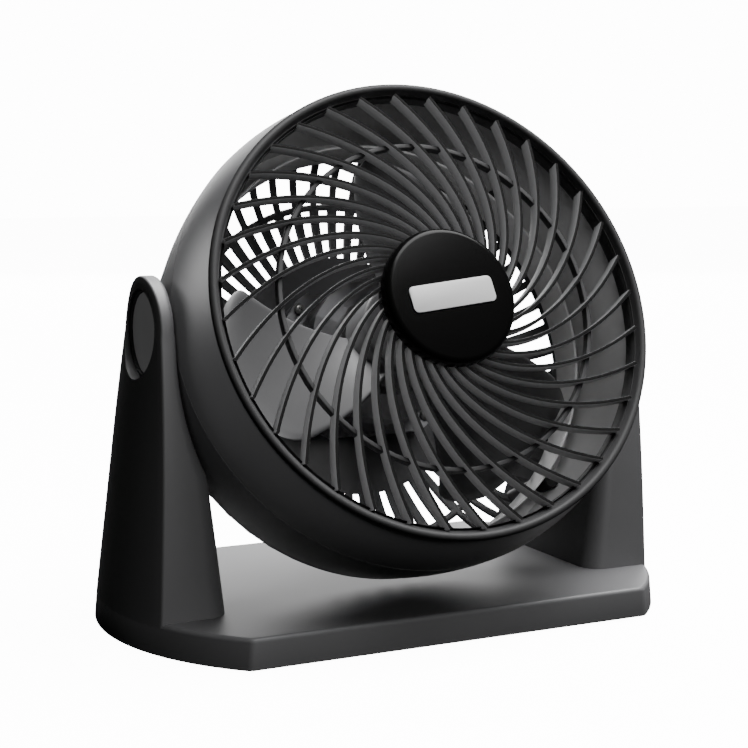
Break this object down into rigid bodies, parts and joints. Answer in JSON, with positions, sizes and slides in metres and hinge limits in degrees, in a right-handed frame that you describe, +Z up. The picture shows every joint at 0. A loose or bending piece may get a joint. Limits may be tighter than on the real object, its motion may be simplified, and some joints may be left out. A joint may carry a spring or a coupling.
{
  "type": "air circulator fan",
  "caption": "Table-top air circulator: a round tilting head with a swirl grille, a bladed impeller and a slotted rear shell, held between the arms of a U-shaped stand.",
  "frame": {"origin": "on the table, under the middle of the fan's bounding box at rest", "axes": "+Z up, -Y out of the front grille (the air leaves that way), X along the tilt axis, +X to the viewer's right when facing the grille"},
  "size_m": [0.2844, 0.2022, 0.2593],
  "materials": {
    "satin_black": "satin moulded ABS with a very fine texture",
    "gloss_black": "gloss",
    "inner_black": "matt moulded",
    "badge_grey": "satin, blank",
    "rubber": "matt",
    "nylon": "natural nylon",
    "cast_zinc": "as cast",
    "copper": "enamelled copper wire",
    "bronze": "sintered",
    "steel": "zinc plated"
  },
  "bodies": {
    "stand": {"stand_shell": "satin_black", "bottom_plate": "inner_black", "friction_washer_left": "nylon", "friction_washer_right": "nylon", "base_screw_1": "steel", "base_screw_2": "steel", "base_screw_3": "steel", "base_screw_4": "steel", "foot_1": "rubber", "foot_2": "rubber", "foot_3": "rubber", "foot_4": "rubber"},
    "head": {"front_shell": "satin_black", "front_grille": "satin_black", "pivot_cap_left": "satin_black", "pivot_cap_right": "satin_black", "motor_cover": "satin_black", "hub_cap": "gloss_black", "rear_shell": "inner_black", "inner_duct": "inner_black", "badge_plate": "badge_grey", "cord_gland": "rubber", "speed_switch": "nylon", "motor_front_bracket": "cast_zinc", "motor_rear_bracket": "cast_zinc", "winding_front": "copper", "winding_rear": "copper", "bearing_front": "bronze", "bearing_rear": "bronze", "stator_core": "steel", "shell_screw_1": "steel", "shell_screw_2": "steel", "shell_screw_3": "steel", "shell_screw_4": "steel", "motor_screw_1": "steel", "motor_screw_2": "steel", "motor_screw_3": "steel", "motor_screw_4": "steel", "cover_screw_1": "steel", "cover_screw_2": "steel", "cover_screw_3": "steel"},
    "rotor": {"motor_shaft": "steel", "rotor_core": "steel", "impeller": "inner_black", "impeller_nut": "inner_black"},
    "knob": {"speed_knob": "satin_black", "switch_spindle": "steel"}
  },
  "joints": [
    {"name": "head_tilt", "type": "hinge", "parent": "stand", "child": "head", "pos_m": [0, -0.00257, 0.144], "axis": [-1, 0, 0], "range_deg": [-23.2, 66.8]},
    {"name": "fan_spin", "type": "hinge", "parent": "head", "child": "rotor", "pos_m": [0, -0.00632, 0.13527], "axis": [0, -0.9191, 0.3939], "continuous": true},
    {"name": "knob_turn", "type": "hinge", "parent": "head", "child": "knob", "pos_m": [0, -0.00632, 0.13527], "axis": [0, -0.9191, 0.3939], "range_deg": [0, 135]}
  ]
}
